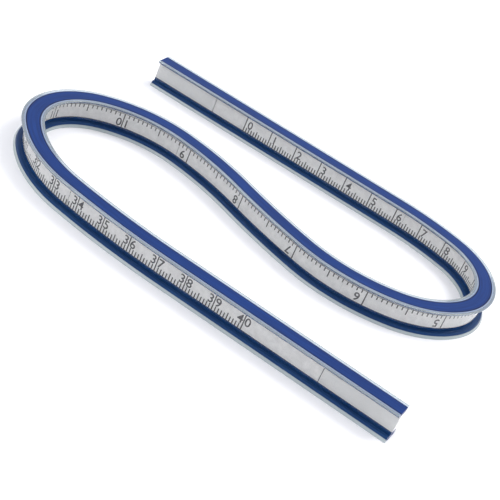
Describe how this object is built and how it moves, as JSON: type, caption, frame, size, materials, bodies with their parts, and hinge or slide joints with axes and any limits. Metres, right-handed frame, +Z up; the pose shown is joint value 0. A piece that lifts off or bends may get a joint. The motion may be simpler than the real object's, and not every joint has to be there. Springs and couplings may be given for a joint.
{
  "type": "flexible curve ruler",
  "caption": "Bendable drawing curve on edge in an S: clear I-section sleeve, blue rails, printed centimetre and inch tapes, lead core between spring strips.",
  "frame": {"origin": "on the drawing surface, under the middle of the bounding box of the ruler as it lies in its S", "axes": "+X along the straight run from the zero end towards the first bend, +Z up along the printed faces, the ruler standing on its edge"},
  "size_m": [0.1496, 0.108, 0.0098],
  "materials": {
    "clear_sleeve": "clear soft vinyl, glossy",
    "blue_rail": "royal blue soft vinyl, satin",
    "printed_tape": "silver grey film with dark printed scale",
    "lead": "dull grey lead",
    "spring_steel": "blued spring strip",
    "end_plug": "off-white moulded plastic"
  },
  "bodies": {
    "zero_arm": {"sleeve_zero_arm": "clear_sleeve", "top_rail_zero_arm": "blue_rail", "bottom_rail_zero_arm": "blue_rail", "lead_core_zero_arm": "lead", "spring_strips_zero_arm": "spring_steel", "cm_tape_zero_arm": "printed_tape", "inch_tape_zero_arm": "printed_tape", "zero_end_plug": "end_plug"},
    "zero_run": {"sleeve_zero_run": "clear_sleeve", "top_rail_zero_run": "blue_rail", "bottom_rail_zero_run": "blue_rail", "lead_core_zero_run": "lead", "spring_strips_zero_run": "spring_steel", "cm_tape_zero_run": "printed_tape", "inch_tape_zero_run": "printed_tape"},
    "right_bend": {"sleeve_right_bend": "clear_sleeve", "top_rail_right_bend": "blue_rail", "bottom_rail_right_bend": "blue_rail", "lead_core_right_bend": "lead", "spring_strips_right_bend": "spring_steel", "cm_tape_right_bend": "printed_tape", "inch_tape_right_bend": "printed_tape"},
    "middle_right": {"sleeve_middle_right": "clear_sleeve", "top_rail_middle_right": "blue_rail", "bottom_rail_middle_right": "blue_rail", "lead_core_middle_right": "lead", "spring_strips_middle_right": "spring_steel", "cm_tape_middle_right": "printed_tape", "inch_tape_middle_right": "printed_tape"},
    "middle_left": {"sleeve_middle_left": "clear_sleeve", "top_rail_middle_left": "blue_rail", "bottom_rail_middle_left": "blue_rail", "lead_core_middle_left": "lead", "spring_strips_middle_left": "spring_steel", "cm_tape_middle_left": "printed_tape", "inch_tape_middle_left": "printed_tape"},
    "left_bend": {"sleeve_left_bend": "clear_sleeve", "top_rail_left_bend": "blue_rail", "bottom_rail_left_bend": "blue_rail", "lead_core_left_bend": "lead", "spring_strips_left_bend": "spring_steel", "cm_tape_left_bend": "printed_tape", "inch_tape_left_bend": "printed_tape"},
    "forty_run": {"sleeve_forty_run": "clear_sleeve", "top_rail_forty_run": "blue_rail", "bottom_rail_forty_run": "blue_rail", "lead_core_forty_run": "lead", "spring_strips_forty_run": "spring_steel", "cm_tape_forty_run": "printed_tape", "inch_tape_forty_run": "printed_tape"},
    "forty_arm": {"sleeve_forty_arm": "clear_sleeve", "top_rail_forty_arm": "blue_rail", "bottom_rail_forty_arm": "blue_rail", "lead_core_forty_arm": "lead", "spring_strips_forty_arm": "spring_steel", "cm_tape_forty_arm": "printed_tape", "inch_tape_forty_arm": "printed_tape", "forty_end_plug": "end_plug"}
  },
  "joints": [
    {"name": "right_bend_inner", "type": "hinge", "parent": "middle_right", "child": "right_bend", "pos_m": [0.06707, 0.01219, 0.0049], "axis": [0, 0, 1], "range_deg": [-30, 3]},
    {"name": "right_bend_outer", "type": "hinge", "parent": "right_bend", "child": "zero_run", "pos_m": [0.06287, 0.04159, 0.0049], "axis": [0, 0, 1], "range_deg": [-30, 3]},
    {"name": "zero_arm_bend", "type": "hinge", "parent": "zero_run", "child": "zero_arm", "pos_m": [0.00278, 0.0504, 0.0049], "axis": [0, 0, 1], "range_deg": [-40, 8]},
    {"name": "middle_bend", "type": "hinge", "parent": "middle_right", "child": "middle_left", "pos_m": [-0.00167, 0.00291, 0.0049], "axis": [0, 0, 1], "range_deg": [-10, 20]},
    {"name": "left_bend_inner", "type": "hinge", "parent": "middle_left", "child": "left_bend", "pos_m": [-0.06533, 0.00141, 0.0049], "axis": [0, 0, 1], "range_deg": [-30, 3]},
    {"name": "left_bend_outer", "type": "hinge", "parent": "left_bend", "child": "forty_run", "pos_m": [-0.06776, -0.02651, 0.0049], "axis": [0, 0, 1], "range_deg": [-30, 3]},
    {"name": "forty_arm_bend", "type": "hinge", "parent": "forty_run", "child": "forty_arm", "pos_m": [-0.00275, -0.04837, 0.0049], "axis": [0, 0, 1], "range_deg": [-40, 8]}
  ],
  "couplings": [
    {"joint": "right_bend_outer", "follows": "right_bend_inner", "ratio": 1},
    {"joint": "left_bend_outer", "follows": "left_bend_inner", "ratio": 1}
  ]
}
